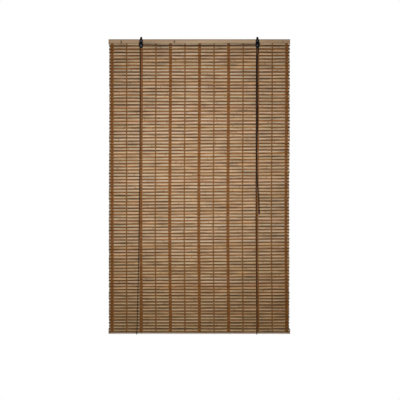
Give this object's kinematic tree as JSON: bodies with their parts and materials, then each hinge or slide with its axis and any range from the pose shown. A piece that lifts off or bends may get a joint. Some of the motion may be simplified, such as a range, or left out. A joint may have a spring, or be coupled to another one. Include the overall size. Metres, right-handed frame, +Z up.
{
  "type": "roll-up shade",
  "caption": "Roll-up window shade of woven bamboo slats between two laths, hung from two metal hooks with pulley wheels, and raised by lift cords that run round the bottom rail.",
  "frame": {"origin": "middle of the head rail's back face, which lies on the wall", "axes": "+X to the right seen from the front, +Y into the wall, so the front faces -Y, and +Z up"},
  "size_m": [1, 0.0322, 1.6398],
  "materials": {
    "rail_wood": "stained bamboo, satin",
    "slat_bamboo": "stained bamboo, matt",
    "yarn": "twisted brown yarn",
    "staple_steel": "bright wire",
    "black_metal": "black enamel",
    "wheel_plastic": "moulded black",
    "bright_steel": "dull zinc",
    "cord": "braided dark cord",
    "joiner_plastic": "moulded black"
  },
  "bodies": {
    "shade": {"head_rail": "rail_wood", "bottom_rail": "rail_wood", "slat_mat": "slat_bamboo", "head_staples": "staple_steel", "bottom_staples": "staple_steel", "left_cord": "cord", "right_cord": "cord", "cord_joiner": "joiner_plastic", "wide_yarn_1": "yarn", "wide_yarn_2": "yarn", "wide_yarn_3": "yarn", "wide_yarn_4": "yarn", "wide_yarn_5": "yarn", "wide_yarn_6": "yarn", "wide_yarn_7": "yarn", "thin_yarn_1": "yarn", "thin_yarn_2": "yarn", "thin_yarn_3": "yarn", "thin_yarn_4": "yarn", "thin_yarn_5": "yarn", "thin_yarn_6": "yarn", "left_hook": "black_metal", "left_pulley_strap": "black_metal", "left_axle": "bright_steel", "left_screw": "bright_steel", "right_hook": "black_metal", "right_pulley_strap": "black_metal", "right_axle": "bright_steel", "right_screw": "bright_steel"},
    "left_wheel": {"left_wheel": "wheel_plastic"},
    "right_wheel": {"right_wheel": "wheel_plastic"}
  },
  "joints": [
    {"name": "right_wheel_spin", "type": "hinge", "parent": "shade", "child": "right_wheel", "pos_m": [0.32, -0.02385, -0.0215], "axis": [0, 1, 0], "continuous": true},
    {"name": "left_wheel_spin", "type": "hinge", "parent": "shade", "child": "left_wheel", "pos_m": [-0.32, -0.02385, -0.0215], "axis": [0, 1, 0], "continuous": true}
  ],
  "couplings": [
    {"joint": "left_wheel_spin", "follows": "right_wheel_spin", "ratio": 1}
  ]
}
